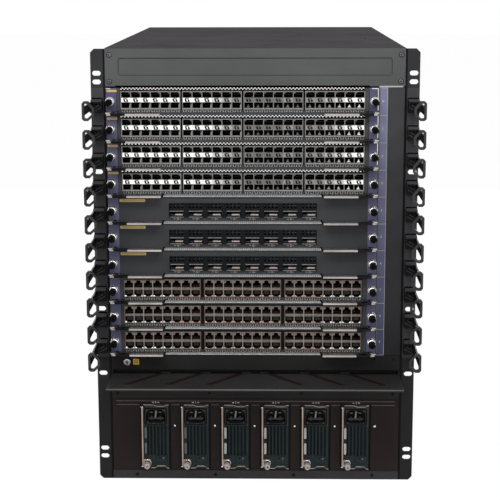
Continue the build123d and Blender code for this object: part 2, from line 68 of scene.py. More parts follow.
class Graph:
    """Node graph of one material, with short calls for the nodes that it uses."""

    def __init__(self, name):
        self.material = bpy.data.materials.new(name)
        self.material.use_nodes = True
        self.tree = self.material.node_tree
        self.shader = self.tree.nodes["Principled BSDF"]
        self.place = self.node("ShaderNodeTexCoord").outputs["Object"]

    def put(self, socket, value):
        if isinstance(value, bpy.types.NodeSocket):
            self.tree.links.new(value, socket)
        else:
            socket.default_value = value

    def node(self, kind, inputs=(), **settings):
        made = self.tree.nodes.new(kind)
        for key, value in settings.items():
            setattr(made, key, value)
        for key, value in dict(inputs).items():
            self.put(made.inputs[key], value)
        return made

    def math(self, operation, first, second=0.0, third=0.0):
        inputs = {0: first, 1: second, 2: third}
        return self.node("ShaderNodeMath", inputs, operation=operation).outputs[0]

    above = partialmethod(math, "GREATER_THAN")
    below = partialmethod(math, "LESS_THAN")
    either = partialmethod(math, "MAXIMUM")
    minus = partialmethod(math, "SUBTRACT")
    size = partialmethod(math, "ABSOLUTE")
    times = partialmethod(math, "MULTIPLY")

    def inside(self, value, low, high):
        """1 where a value lies between two limits, else 0."""
        return self.times(self.above(value, low), self.below(value, high))

    def noise(self, scale, detail=3.0, stretch=(1, 1, 1)):
        place = self.node("ShaderNodeMapping", {"Vector": self.place, "Scale": stretch}).outputs[0]
        return self.node("ShaderNodeTexNoise", {"Vector": place, "Scale": scale, "Detail": detail}).outputs[0]

    def span(self, value, low=0.0, high=1.0, source=(0.3, 0.7)):
        inputs = {"Value": value, "From Min": source[0], "From Max": source[1], "To Min": low, "To Max": high}
        return self.node("ShaderNodeMapRange", inputs).outputs[0]

    def patches(self, scale, detail=3.0):
        """Soft patches from 0 to 1."""
        return self.span(self.noise(scale, detail))

    def mix(self, share, first, second):
        return self.node("ShaderNodeMix", {0: share, 6: first, 7: second}, data_type="RGBA").outputs[2]

    def set(self, **values):
        for key, value in values.items():
            self.put(self.shader.inputs[key.replace("_", " ")], value)

    def finish(self, colour, grit, rough, relief, depth=0.0003, drawn=None, **values):
        """Colour, roughness between two limits, and a fine relief from the same noise or from drawn lines."""
        self.set(Base_Color=colour, Roughness=self.span(grit, *rough), **values)
        inputs = {"Height": grit if drawn is None else drawn, "Strength": relief, "Distance": depth}
        self.set(Normal=self.node("ShaderNodeBump", inputs).outputs[0])
        return self.material

    def axes(self):
        """Place on the part in millimetres: across, rearwards from the ears, up."""
        split = self.node("ShaderNodeSeparateXYZ", {0: self.place}).outputs
        behind = self.math("MULTIPLY_ADD", split[1], 1000.0, -EAR_Y)
        return self.times(split[0], 1000.0), behind, self.times(split[2], 1000.0)

    def in_bay(self, across):
        """Place across a power module, measured from its middle."""
        shift = self.math("ADD", across, 3 * MODULE_PITCH)
        return self.minus(self.math("FLOORED_MODULO", shift, MODULE_PITCH), MODULE_PITCH / 2)


PAINT_GLOSS, PAINT_GRIT = 0.09, (1400.0, 2.0)


def powder(name, level, tint=(0, 0, 0), rough=0.55, spread=5, gloss=PAINT_GLOSS, grain=0.25, scale=1400.0):
    """Powder-coated sheet: slight patches of tone, a fine orange-peel grain."""
    made = Graph(name)
    tones = [linear(*[max(level + t + shift, 3) for t in tint]) for shift in (-spread, spread)]
    return made.finish(made.mix(made.patches(9.0, 4.0), *tones), made.noise(scale, 2.0),
                       (rough - 0.07, rough + 0.07), grain, 0.0004, Specular_IOR_Level=gloss)


def graded(name, low_level, high_level, tint, rearwards=False):
    """Powder-coated sheet with a painted light gradient: lighter towards the top of the slots, or towards the
    rear of the cover, standing in for how the light falls.
    """
    made = Graph(name)
    across, behind, up = made.axes()
    way, limits = (behind, (0.0, REAR_Y)) if rearwards else (up, (SLOTS_LOW, SLOTS_HIGH))
    patches = made.patches(9.0, 4.0)
    ends = [made.mix(patches, *[linear(*[level + t + shift for t in tint]) for shift in (-5, 5)])
            for level in (low_level, high_level)]
    return made.finish(made.mix(made.span(way, source=limits), *ends), made.noise(*PAINT_GRIT), (0.43, 0.57),
                       0.25, 0.0004, Specular_IOR_Level=0.0 if rearwards else PAINT_GLOSS)


def metal(name, level, tint=(0, 0, 0), rough=0.3, stretch=(1, 1, 1), scale=260.0):
    """Bare or plated sheet metal with drawn lines and a few dull patches."""
    made = Graph(name)
    tones = [linear(*[min(level + t + shift, 250) for t in tint]) for shift in (-16, 10)]
    lines = made.noise(scale, 3.0, stretch)
    return made.finish(made.mix(made.span(lines), *tones), made.noise(40.0), (rough - 0.08, rough + 0.1),
                       0.12, drawn=lines, Metallic=1.0)


def plastic(name, colour, rough=0.45, spread=6, gloss=0.12, grain=0.2):
    """Moulded plastic with a fine texture."""
    made = Graph(name)
    tones = [linear(*[min(max(c + shift, 2), 252) for c in colour]) for shift in (-spread, spread)]
    return made.finish(made.mix(made.patches(30.0), *tones), made.noise(2200.0, 2.0),
                       (rough - 0.06, rough + 0.08), grain, Specular_IOR_Level=gloss)


def card_material(name, cage, cage_metal, cage_low, cage_high, cage_left, cage_right):
    """Card: lavender ends, dark grey face, cages darkening with depth as painted shade, steel levers' brackets
    and a green board behind.
    """
    made = Graph(name)
    across, behind, up = made.axes()
    local = made.math("FLOORED_MODULO", made.minus(up, SLOTS_LOW + CARD_GAP), SLOT_PITCH)
    patches = made.patches(12.0, 4.0)
    ends = made.math("ADD", made.below(across, LAVENDER_LEFT), made.above(across, LAVENDER_RIGHT))
    colour = made.mix(ends, made.mix(patches, linear(61, 62, 64), linear(70, 71, 73)),
                      made.mix(patches, linear(88, 87, 114), linear(98, 97, 124)))
    in_height = made.inside(local, cage_low, cage_high)
    in_cage = made.times(in_height, made.inside(across, cage_left, cage_right))
    in_cage = made.times(in_cage, made.inside(behind, -1.5, 24.5))
    # Painted shade: the cages darken with depth into their openings.
    depth = made.span(behind, source=(-1.1, 9.0))
    colour = made.mix(in_cage, colour, made.mix(depth, cage, linear(16, 16, 17)))
    outer = made.above(made.size(made.minus(across, CARD_MIDDLE)), 194.6)
    steel = made.times(made.inside(local, 3.2, 4.9), made.below(behind, -0.3))
    colour = made.mix(steel, colour, made.mix(outer, linear(60, 58, 62), linear(200, 200, 198)))
    knob = made.below(behind, -12.0)
    colour = made.mix(knob, colour, linear(12, 12, 13))
    board = made.either(made.minus(1.0, in_height), made.above(behind, 25.3))
    board = made.times(made.above(behind, 3.05), board)
    traces = made.span(made.noise(420.0, 1.0, (1, 6, 1)), source=(0.48, 0.52))
    colour = made.mix(board, colour, made.mix(traces, linear(18, 62, 38), linear(26, 84, 52)))
    colour = made.mix(made.above(behind, 427.9), colour, linear(34, 34, 36))
    shiny = made.either(made.times(in_cage, cage_metal), steel)
    return made.finish(colour, made.noise(*PAINT_GRIT), (0.42, 0.54), 0.2, Metallic=shiny,
                       Specular_IOR_Level=0.1)


def module_material(name):
    """Power module: dark teal face and ribs, its grille's slots painted darker with depth as shade, black
    inlet, zinc-plated case behind the face, and the case's edges near the face painted dark as shade in the
    gaps between modules.
    """
    made = Graph(name)
    across, behind, up = made.axes()
    local = made.minus(up, MODULE_LOW)
    # Painted shade: the grille's slots darken with depth.
    ribs = made.mix(made.span(behind, source=(0.6, 7.0)), linear(50, 58, 60), linear(10, 15, 16))
    colour = made.mix(made.span(made.noise(26.0, 4.0), 0.0, 0.45), ribs, linear(30, 42, 45))
    place = made.in_bay(across)
    side = made.size(place)
    inlet = made.times(made.inside(local, 70.0, 103.6), made.below(side, 21.9))
    colour = made.mix(inlet, colour, linear(76, 74, 74))
    colour = made.mix(made.above(place, 19.9), colour, linear(11))
    # Painted shade: the edges behind the face, seen in the gaps between modules, are dark before the zinc case
    # shows.
    rim = made.either(made.above(side, 21.9), made.above(local, 103.2))
    rim = made.either(rim, made.below(local, 0.4))
    colour = made.mix(made.times(made.above(behind, 0.7), rim), colour, linear(14))
    case = made.either(made.times(made.above(behind, 14.0), rim), made.above(behind, 25.0))
    colour = made.mix(case, colour, linear(150, 152, 154))
    return made.finish(colour, made.noise(300.0, 2.0), (0.36, 0.5), 0.15, drawn=made.noise(1300.0, 2.0),
                       Metallic=made.times(case, 0.9), Specular_IOR_Level=0.1)


def lever_material(name):
    """Ejector lever: polished handle, dark arm, bright boss."""
    made = Graph(name)
    across, behind, up = made.axes()
    lines = made.noise(220.0, 3.0, (0.1, 1, 1))
    bright = made.mix(made.span(lines), linear(160, 153, 149), linear(198, 190, 185))
    arm = made.inside(made.size(made.minus(across, CARD_MIDDLE)), 171.6, 193.2)
    return made.finish(made.mix(arm, bright, linear(30, 27, 27)), made.noise(60.0), (0.2, 0.34), 0.1,
                       drawn=lines, Metallic=0.9)


def pull_material(name):
    """Lever of a power module: plated, its outer edge dark."""
    made = Graph(name)
    across, behind, up = made.axes()
    lines = made.noise(260.0, 3.0, (1, 1, 0.2))
    plated = made.mix(made.span(lines), linear(146, 132, 122), linear(176, 160, 148))
    outer = made.below(made.in_bay(across), -20.9)
    return made.finish(made.mix(outer, plated, linear(26, 24, 23)), made.noise(40.0), (0.28, 0.44), 0.12,
                       drawn=lines, Metallic=made.minus(0.95, made.times(outer, 0.9)), Specular_IOR_Level=0.1)


def guide_material(name):
    """Cable guide: black plastic, its ring's front face painted grey as lit from the front."""
    made = Graph(name)
    across, behind, up = made.axes()
    patches = made.patches(30.0)
    # Painted light: the ring's front face in a lighter grey.
    colour = made.mix(made.below(behind, -95.4), made.mix(patches, linear(13, 13, 14), linear(22, 22, 23)),
                      made.mix(patches, linear(54, 54, 55), linear(68, 68, 69)))
    return made.finish(colour, made.noise(2200.0, 2.0), (0.36, 0.5), 0.2, Specular_IOR_Level=PAINT_GLOSS)


def cage_material(name):
    """Zinc-plated sheet of the card cage and the power shelf, painted black as shade in the gaps round cards
    and modules.
    """
    made = Graph(name)
    across, behind, up = made.axes()
    lines = made.noise(240.0)
    zinc = made.mix(made.span(lines), linear(134, 134, 138), linear(160, 160, 164))
    # Painted shade: black near the front, where the sheet shows through the gaps.
    gap = made.below(behind, 30.0)
    return made.finish(made.mix(gap, zinc, linear(10, 10, 11)), made.noise(40.0), (0.36, 0.52), 0.12,
                       drawn=lines, Metallic=made.minus(1.0, gap), Specular_IOR_Level=0.05)


def ear_material(name):
    """Ear: grey paint, with painted light making it lighter beside the cards where the guides shade it, painted
    shade making its foot darker, and the shaded fold next to the cards painted black as shade.
    """
    made = Graph(name)
    across, behind, up = made.axes()
    patches = made.patches(9.0, 4.0)
    foot_top = SLOTS_LOW - 4.0
    # Painted light and shade: lighter beside the cards, darker at the foot.
    plain, beside, foot = [made.mix(patches, linear(*low), linear(*high)) for low, high in (
        ((46, 45, 48), (56, 55, 58)), ((62, 62, 64), (72, 72, 74)), ((37, 36, 38), (45, 44, 46)))]
    paint = made.mix(made.inside(up, foot_top, SLOTS_HIGH), plain, beside)
    paint = made.mix(made.below(up, foot_top), paint, foot)
    # Painted shade: the fold next to the cards in black.
    fold = made.below(made.size(across), 223.0)
    return made.finish(made.mix(fold, paint, linear(12)), made.noise(*PAINT_GRIT), (0.43, 0.57), 0.25, 0.0004,
                       Specular_IOR_Level=PAINT_GLOSS)


# Each maker with its paints: level or colour, tint, roughness, spread of the patches, gloss, grain
PAINTS = {name: make(name, *values) for make, table in (
    (powder, {
        "case": (62, (1, 0, 2), 0.5, 4),
        "fascia": (87, (0, 1, 1), 0.5, 5, PAINT_GLOSS, 0.45, 900.0),
        "edge": (104, (6, -2, -4), 0.4, 8),
        "groove": (20, (-4, 7, 9), 0.5, 4, 0.1),
        "teal": (46, (-6, 8, 11), 0.45, 4),
        "black": (39, (0, 0, 0), 0.45, 4),
        "power": (40, (4, -3, -4), 0.55, 4, PAINT_GLOSS, 0.4),
        "tray": (42, (0, 0, 0), 0.5, 5, 0.1),
        "fan": (84, (0, 0, 1), 0.5),
        "face": (62, (0, 1, 3), 0.5, 4),
        "bar": (72, (0, 1, 3), 0.42),
        "streak": (26, (9, -4, -5), 0.6, 3, 0.03),
        "dark": (15, (0, 1, 3), 0.6, 4, 0.05),
        "web": (33, (0, 1, 2), 0.5, 5, 0.04),
        "speck": (84, (0, 0, 1), 0.5, 6),
        "slide": (64, (0, 2, 3), 0.5, 6),
        # Lit and shaded copies of the end caps' paint: the plain one is painted lighter for the cards that the
        # levers above shade, the top card's one darker.
        "lavender": (106, (0, -1, 28), 0.42, 6, PAINT_GLOSS, 0.2),
        "lavender_top": (86, (0, -1, 26), 0.42, 6, PAINT_GLOSS, 0.2),
        "board": (60, (-38, 10, -18), 0.4, 8),
    }),
    # Painted light: these sheets are lighter at one end in place of the light's falloff.
    (graded, {
        "cover": (73, 93, (3, 0, 3), True),
        "column": (46, 69, (0, 0, 2)),
        "strip": (83, 130, (0, 0, 27)),
    }),
    (metal, {
        "frame": (146, (0, -1, -3), 0.34),
        "bright": (212, (0, -1, -3), 0.2),
        "silver": (168, (0, -1, -3), 0.3),
        "beige": (113, (5, -7, -13), 0.36),
        "copper": (164, (16, -20, -42), 0.3),
        "pull": (158, (6, -6, -14), 0.34),
        "dull": (112, (0, 0, 2), 0.4),
        # Metal of the folded springs, from dull to bright, for their painted reflection
        **{f"spring_{step}": (level, (0, -1, -2), 0.3, (1, 1, 3), 600.0)
           for step, level in enumerate((98, 122, 150, 182, 212, 234))},
    }),
    (plastic, {
        "knob": ((9, 9, 10), 0.4, 3, 0.06),
        "guide": ((15, 15, 16), 0.4, 3),
        # Painted highlight: lighter grey for the guides' lit tops and edges.
        "guide_edge": ((62, 62, 63), 0.42, 5),
        # Painted shade: a black that stands for the shade in holes, recesses and gaps.
        "hole": ((5, 5, 6), 0.8, 2, 0.0),
        "mark": ((176, 178, 178), 0.5, 10),
        "tongue": ((188, 171, 161), 0.4, 14),
        "white": ((226, 227, 225), 0.5, 8),
        # Painted light: the amber tags are painted lighter where the levers above shade them; the top card's
        # rim takes a darker copy.
        "amber": ((240, 212, 142), 0.5, 10),
        "amber_field": ((214, 186, 130), 0.5, 16),
        "amber_top": ((204, 172, 108), 0.5, 10),
        "green": ((64, 112, 74), 0.5, 9),
        "violet": ((66, 62, 96), 0.5),
        "yellow": ((250, 208, 84), 0.45, 8),
        "yellow_field": ((214, 170, 60), 0.5, 10),
        "tag_shade": ((118, 126, 128), 0.5, 10),
        "lamp": ((196, 148, 120), 0.2, 8),
        "satin": ((196, 188, 182), 0.36, 14, 0.3, 0.1),
        "inlet": ((78, 77, 78), 0.45, 5),
        "chip": ((22, 22, 24), 0.35),
    }),
    # Colour of the cages, their metal share, and where they lie: low, high, left, right
    (card_material, {
        "small_card": (linear(150, 148, 145), 0.9, 8.2, 36.2, -198.0, 162.0),
        "large_card": (linear(15, 19, 22), 0.0, 8.8, 31.2, -129.0, 92.4),
        "jack_card": (linear(92, 83, 78), 0.85, 8.4, 36.0, -199.0, 161.0),
    }),
    (ear_material, {"ear": ()}), (cage_material, {"zinc": ()}), (guide_material, {"ring": ()}),
    (module_material, {"module": ()}), (lever_material, {"lever": ()}), (pull_material, {"pull_lever": ()}),
) for name, values in table.items()}

CAD_PAINTS = {
    "chassis_shell": "case", "top_cover": "cover", "top_fascia": "fascia", "card_cage": "zinc",
    "power_shelf": "zinc", "side_column": "column", "slot_label_strip": "strip", "lower_rail": "black",
    "strap_jack": "silver", "cable_tray": "tray", "power_fascia": "power", "rack_ear_left": "ear",
    "rack_ear_right": "ear", "cable_guides_left": "ring", "cable_guides_right": "ring", "midplane": "board",
}
for number, kind in enumerate(KINDS):
    CAD_PAINTS[f"card_{number}"] = f"{kind}_card"
    CAD_PAINTS[f"lever_left_{number}"] = CAD_PAINTS[f"lever_right_{number}"] = "lever"
for number in range(len(MODULE_XS)):
    CAD_PAINTS[f"power_module_{number}"] = "module"
    CAD_PAINTS[f"power_lever_{number}"] = "pull_lever"
for number in range(len(FAN_XS)):
    CAD_PAINTS[f"fan_tray_{number}"] = "fan"
for node, paint in CAD_PAINTS.items():
    mesh = nodes[node].data
    mesh.materials.clear()
    mesh.materials.append(PAINTS[paint])


# Shapes


def circle(x, z, radius, sides, valley=None):
    """Points round a middle; where a valley is given, every second point lies on that smaller radius."""
    steps = [((valley or radius, radius)[index % 2], 2 * math.pi * index / sides) for index in range(sides)]
    return [(x + reach * math.cos(step), z + reach * math.sin(step)) for reach, step in steps]


def quad(x, low, left, right, high, far_right, far_left):
    """Four corners at two heights, measured across from x."""
    return [(x + left, low), (x + right, low), (x + far_right, high), (x + far_left, high)]


def rectangle(x0, x1, z0, z1):
    return [(x0, z0), (x1, z0), (x1, z1), (x0, z1)]


def rounded(x0, x1, z0, z1, radius, steps=3):
    """Rectangle with round corners."""
    corners = ((x1 - radius, z1 - radius, 0), (x0 + radius, z1 - radius, 1),
               (x0 + radius, z0 + radius, 2), (x1 - radius, z0 + radius, 3))
    points = []
    for x, z, quarter in corners:
        for index in range(steps + 1):
            angle = math.pi / 2 * (quarter + index / steps)
            points.append((x + radius * math.cos(angle), z + radius * math.sin(angle)))
    return points


def shrink(outline, amount):
    """The outline with every side moved inwards by an amount."""
    count = len(outline)
    area = sum(outline[i - 1][0] * outline[i][1] - outline[i][0] * outline[i - 1][1] for i in range(count))
    turn = 1.0 if area > 0 else -1.0
    moved = []
    for index, (x, z) in enumerate(outline):
        sides = []
        for a, b in ((outline[index - 1], (x, z)), ((x, z), outline[(index + 1) % count])):
            dx, dz = b[0] - a[0], b[1] - a[1]
            length = math.hypot(dx, dz) or 1.0
            sides.append((-dz / length * turn, dx / length * turn))
        (ax, az), (bx, bz) = sides
        scale = amount / max(1 + ax * bx + az * bz, 0.4)
        moved.append((x + (ax + bx) * scale, z + (az + bz) * scale))
    return moved


class Shape:
    """Mesh of one piece, in millimetres, with its y measured rearwards from the ear face."""

    def __init__(self):
        self.points, self.faces, self.paints = [], [], []

    def rings(self, rings, axis, paint, closed=True):
        """Skin through rings of (across, up, along) points; ends are capped where closed."""
        base, count = len(self.points), len(rings[0])
        order = {"y": (0, 2, 1), "z": (0, 1, 2), "x": (2, 0, 1)}[axis]
        for ring in rings:
            self.points += [tuple(point[i] for i in order) for point in ring]
        found = []
        for row in range(len(rings) - 1):
            low, high = base + row * count, base + (row + 1) * count
            for index in range(count):
                after = (index + 1) % count
                found.append((low + index, low + after, high + after, high + index))
        if closed:
            found += [tuple(range(first, first + count)) for first in (base, len(self.points) - count)]
        self.faces += found
        self.paints += [paint] * len(found)

    def levels(self, levels, axis, paint, closed=True):
        """Skin through (outline, place along the axis) pairs."""
        self.rings([[(u, v, along) for u, v in outline] for outline, along in levels], axis, paint, closed)

    def prism(self, outline, near, far, paint, edge=0.0, axis="y"):
        """Outline pushed from near to far, with the rim of its near face cut by edge."""
        along = edge if far > near else -edge
        cut = [(shrink(outline, edge), near)] if edge else []
        self.levels(cut + [(outline, near + along), (outline, far)], axis, paint)

    def block(self, x0, x1, y0, y1, z0, z1, paint, edge=0.0):
        self.prism(rectangle(x0, x1, z0, z1), y0, y1, paint, edge)

    def bar(self, x, half, y0, y1, z0, z1, paint, edge=0.0):
        """Block with its middle at x."""
        self.block(x - half, x + half, y0, y1, z0, z1, paint, edge)

    def frame(self, outer, inner, near, far, paint, edge=0.0):
        """Plate with one hole; both outlines have the same number of points."""
        along = edge if far > near else -edge
        cut = [(shrink(outer, edge), near), (shrink(inner, -edge), near)] if edge else []
        levels = [(outer, far), (outer, near + along), *cut, (inner, near + along), (inner, far), (outer, far)]
        self.levels(levels, "y", paint, closed=False)

    def rim(self, outer, wide, *values):
        """Frame of one width inside an outline."""
        self.frame(outer, shrink(outer, wide), *values)

    def ring(self, x, z, outer, inner, sides, *values):
        self.frame(circle(x, z, outer, sides), circle(x, z, inner, sides), *values)

    def turned(self, x, z, profile, sides, paint, axis="y"):
        """Round part from (radius, along) pairs."""
        self.levels([(circle(x, z, radius, sides), along) for radius, along in profile], axis, paint)

    def cross(self, x, z, arm, width, near, far, paint, axis="y"):
        """Crossed recess of a screw, as two thin dark bars."""
        for across, up in ((arm, width), (width, arm)):
            self.prism(rectangle(x - across, x + across, z - up, z + up), near, far, paint, 0.0, axis)

    def screw(self, x, z, face, radius, paint, axis="y", out=-1.0):
        """Screw head on a face with a crossed recess; out is the direction that it stands out in."""
        high = radius * 0.45
        top = face + out * high
        self.turned(x, z, [(radius, face), (radius, face + out * high * 0.5), (radius * 0.8, top),
                           (radius * 0.25, top)], 20, paint, axis)
        self.cross(x, z, radius * 0.62, radius * 0.13, top + out * 0.04, top - out * 0.05, "hole", axis)

    def mesh(self, name):
        made = bpy.data.meshes.new(name)
        made.from_pydata([(x / 1000, (EAR_Y + y) / 1000, z / 1000) for x, y, z in self.points], [], self.faces)
        used = sorted(set(self.paints))
        for paint in used:
            made.materials.append(PAINTS[paint])
        made.polygons.foreach_set("material_index", [used.index(paint) for paint in self.paints])
        cleaner = bmesh.new()
        cleaner.from_mesh(made)
        bmesh.ops.recalc_face_normals(cleaner, faces=cleaner.faces)
        cleaner.to_mesh(made)
        cleaner.free()
        made.polygons.foreach_set("use_smooth", [True] * len(made.polygons))
        made.set_sharp_from_angle(angle=math.radians(32))
        return made


def put(mesh, name, body, x=0.0, z=0.0):
    """Piece from a mesh, moved by millimetres, riding on a body."""
    piece = bpy.data.objects.new(name, mesh)
    bpy.context.scene.collection.objects.link(piece)
    piece.location = (x / 1000, 0, z / 1000)
    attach(piece, body)
    return piece


# Ports of the cards, in the card's own height


def spread(middle, count, pitch):
    return [middle + (index - (count - 1) / 2) * pitch for index in range(count)]


# Painted reflection: the folded springs between the two rows of small ports are brighter or duller column by
# column, duller towards the middle of the card, as the lamps' reflection falls on them.
SPRINGS = [5] * 7 + [4, 4, 3, 2, 1] + [0, 0, 0, 0, 1, 0] + [1, 1, 2, 3, 4, 5]


def small_ports():
    """Groups of small ports: bright frames, folded springs between the rows, latches inside."""
    shape = Shape()
    low, high, pitch = 8.4, 36.0, 14.55
    band_low, band_high, slats = 19.4, 25.6, 3
    slat = (band_high - band_low) / slats
    column = -1
    for group, middle in enumerate(spread(-18.0, 4, 90.4)):
        shape.rim(rectangle(middle - 43.9, middle + 43.9, low, 35.3), 1.2, -2.2, CAGE_FRONT, "frame", 0.3)
        # Painted shade: black strips above each group's frame and in the gaps between groups.
        shape.bar(middle, 44.0, -1.4, CAGE_FRONT, 35.3, high, "hole")
        if group:
            shape.block(middle - 46.3, middle - 44.1, -0.3, 0.0, low - 0.6, high + 0.6, "hole")
        lean = 1.0 if group < 2 else -1.0
        for x in spread(middle, 6, pitch):
            if x > middle - 36:
                for z0, z1 in ((low + 1.0, band_low), (band_high, 34.6)):
                    shape.bar(x - pitch / 2, 0.5, -2.0, CAGE_FRONT, z0, z1, "frame", 0.2)
            column += 1
            # Painted reflection: each column's springs take their own brightness.
            spring, fold = f"spring_{SPRINGS[column]}", f"spring_{max(SPRINGS[column] - 3, 0)}"
            for step in range(slats):
                z = band_low + step * slat
                shape.prism([(-1.9, z), (-1.6, z + slat), (-1.2, z + slat), (-1.2, z)], x - 7.2, x + 7.2,
                            spring, 0.0, "x")
            for near, paint, outline in (
                    (-2.2, fold, quad(x, band_high + 0.1, -3.8, 3.2, band_high - 1.9, 1.8, -2.8)),
                    (-2.5, "hole", quad(x, 24.2, -4.0, -1.6, 19.9, -0.2, -2.6)),
                    (-2.5, "hole", quad(x, 23.5, 0.5, 3.0, 20.5, 3.8, 1.3)),
                    (-2.4, fold, quad(x, band_low - 0.1, -2.2, 4.4, band_low + 1.4, 3.6, -1.2))):
                shape.prism(outline, near, -1.3, paint)
            for floor, top, back in ((10.4, 18.8, "dark"), (25.9, 34.3, "web")):
                shape.bar(x, 6.5, 13.0, 14.6, floor + 0.2, top - 0.2, "hole")
                shape.bar(x, 4.8, 4.0, 13.0, floor + 3.2, floor + 5.4, back, 0.4)
            if group < 2:
                latch = [(x + 4.5, 10.6), (x + 6.4, 10.6), (x + 6.4, 16.6), (x + 5.2, 17.0)]
                shape.prism(latch, -0.8, 1.4, "silver", 0.4)
            else:
                latch = [(x - 3.9, 11.0), (x + 2.3, 11.0), (x + 0.6, 13.6), (x - 0.6, 17.0), (x - 1.8, 14.4)]
                shape.prism(latch, -0.8, 1.4, spring, 0.5)
            catch = [(x + lean * 2.2, 34.2), (x + lean * 6.3, 34.2), (x + lean * 6.3, 30.6)]
            shape.prism(catch, 0.2, 1.8, "dull", 0.3)
    return shape.mesh("small_ports")


def jack_ports():
    """Groups of plug sockets: beige frames, a broad middle bar, latch notches with springs beside them."""
    shape = Shape()
    low, high = 8.6, 35.8
    for group, middle in enumerate(spread(-19.1, 3, 121.2)):
        shape.rim(rectangle(middle - 58.0, middle + 58.0, low, high), 1.1, -2.2, CAGE_FRONT, "beige", 0.3)
        shape.bar(middle, 56.8, -1.9, CAGE_FRONT, 19.9, 23.9, "beige", 0.3)
        shape.bar(middle, 56.8, -1.5, CAGE_FRONT, 23.9, 25.2, "dark")
        # Painted shade: a dark strip in the gap between groups.
        if group:
            shape.block(middle - 62.8, middle - 58.4, -0.3, 0.0, low - 0.4, high + 0.4, "dark")
        for place, x in enumerate(spread(middle, 8, 14.4)):
            if place:
                shape.bar(x - 7.2, 0.45, -2.0, CAGE_FRONT, low + 1.0, high - 1.0, "silver", 0.2)
            # Painted reflection: the springs of the sockets towards the card's ends are bright, the others
            # copper.
            lit = (group, place) < (0, 5) or (group, place) > (2, 3)
            for side in (-1, 1):
                for near, paint, edge, half in (
                        (-1.3, "beige", 0.1, ((6.2, 34.6), (6.2, 30.3), (3.7, 31.0), (3.0, 32.0), (3.0, 34.6))),
                        (-2.3, "bright" if lit else "copper", 0.3,
                         ((6.7, 9.8), (6.7, 12.2), (5.4, 12.2), (3.7, 11.0), (3.4, 9.8)))):
                    shape.prism([(x + side * across, z) for across, z in half], near, 3.0, paint, edge)
            for floor in (10.1, 25.1):
                shape.bar(x, 6.0, 12.8, 14.6, floor + 0.2, floor + 9.2, "hole")
            shape.bar(x, 4.6, 3.0, 12.8, 12.4, 18.2, "slide", 0.8)
            for pin in spread(x, 8, 1.1):
                for z in (25.3, 18.9):
                    shape.bar(pin, 0.2, 8.0, 12.8, z, z + 0.4, "copper")
    return shape.mesh("jack_ports")


def large_ports():
    """Large ports: a pierced plate over each, a thin frame and the tongue of its cage inside."""
    shape = Shape()
    for x in spread(-18.2, 8, 28.2):
        shape.bar(x, 10.6, -1.9, CAGE_FRONT, 20.4, 30.8, "web", 0.3)
        for middle, count, half, radius, paint, rows in (
                (x - 0.4, 4, 1.7, 0.9, "hole", ((29.5, 1.9), (24.9, 2.9))),
                (x + 2.4, 3, 1.3, 0.5, "dark", ((27.3, 1.3), (22.3, 1.4)))):
            for z, tall in rows:
                for column in spread(middle, 4, 5.7)[:count]:
                    hole = rounded(column - half, column + half, z - tall / 2, z + tall / 2, radius, 2)
                    shape.prism(hole, -1.98, -1.5, paint)
        for column in (x - 1.2, x + 4.4, x + 8.0):
            shape.prism(quad(column, 27.0, -0.8, 0.2, 28.4, 1.0, 0.0), -2.1, -1.6, "speck")
        for z0, z1 in ((18.1, 19.7), (9.2, 10.6)):
            shape.bar(x, 10.5, -2.4, CAGE_FRONT, z0, z1, "dull", 0.4)
        for side in (-1, 1):
            shape.bar(x + side * 10.0, 0.5, -2.2, CAGE_FRONT, 10.6, 18.1, "dark", 0.2)
        shape.bar(x - 9.5, 0.1, -1.0, 12.0, 10.6, 19.0, "hole")
        shape.bar(x, 9.0, 13.2, 14.6, 10.7, 18.9, "hole")
        shape.block(x - 9.4, x - 4.2, -0.8, 6.0, 12.2, 13.6, "slide", 0.3)
        shape.prism([(x - 3.4, 12.9), (x - 1.6, 12.5), (x + 8.8, 12.5), (x + 9.3, 13.1), (x + 9.3, 14.3),
                     (x - 0.2, 14.6), (x - 2.6, 14.0)], -1.7, 8.0, "tongue", 0.5)
        shape.block(x - 5.0, x - 1.8, -0.2, 0.0, 6.7, 7.7, "mark")
        shape.ring(x + 1.4, 7.2, 1.6, 0.8, 14, -0.2, 0.0, "mark")
        shape.block(x + 3.8, x + 5.4, -0.2, 0.0, 6.6, 7.6, "mark")
    return shape.mesh("large_ports")


def zigzag(shape, x0, x1, z, rise, thick, pitch, near, far, paint):
    """Folded strip of contact springs, with a broad pad at each fold."""
    for index in range(round((x1 - x0) / pitch)):
        x = x0 + index * pitch
        folds = ((x, z - rise), (x + pitch / 2, z + rise), (x + pitch, z - rise))
        for across, up in folds[:2]:
            pad = rounded(across - 1.1, across + 1.1, up - 0.75, up + 0.75, 0.6, 2)
            shape.prism(pad, near - 0.1, far, paint)
        for (ax, az), (bx, bz) in zip(folds, folds[1:]):
            shape.prism(quad(0, az, ax - thick, ax + thick, bz, bx + thick, bx - thick), near, far, paint)


def tag(shape, x0, x1, z0, z1, face, rim, field):
    """Bare tag: a rim with a slightly darker field."""
    radius = min(1.6, (z1 - z0) / 2.2)
    shape.prism(rounded(x0, x1, z0, z1, radius), face - 0.22, face, rim, 0.08)
    shape.prism(rounded(x0 + 2.4, x1 - 2.4, z0 + 0.9, z1 - 0.9, radius * 0.4), face - 0.26, face - 0.2, field)


def marks(shape, middle, count, pitch, low):
    """Row of small slanted marks below the ports, leaning left and right in turn."""
    for index, x in enumerate(spread(middle, count, pitch)):
        lean = 0.55 if index % 2 else -0.55
        outline = quad(x, low, -0.7 - lean, 0.7 - lean, low + 3.0, 0.7 + lean, -0.7 + lean)
        shape.prism(outline, -0.15, 0.0, "mark")


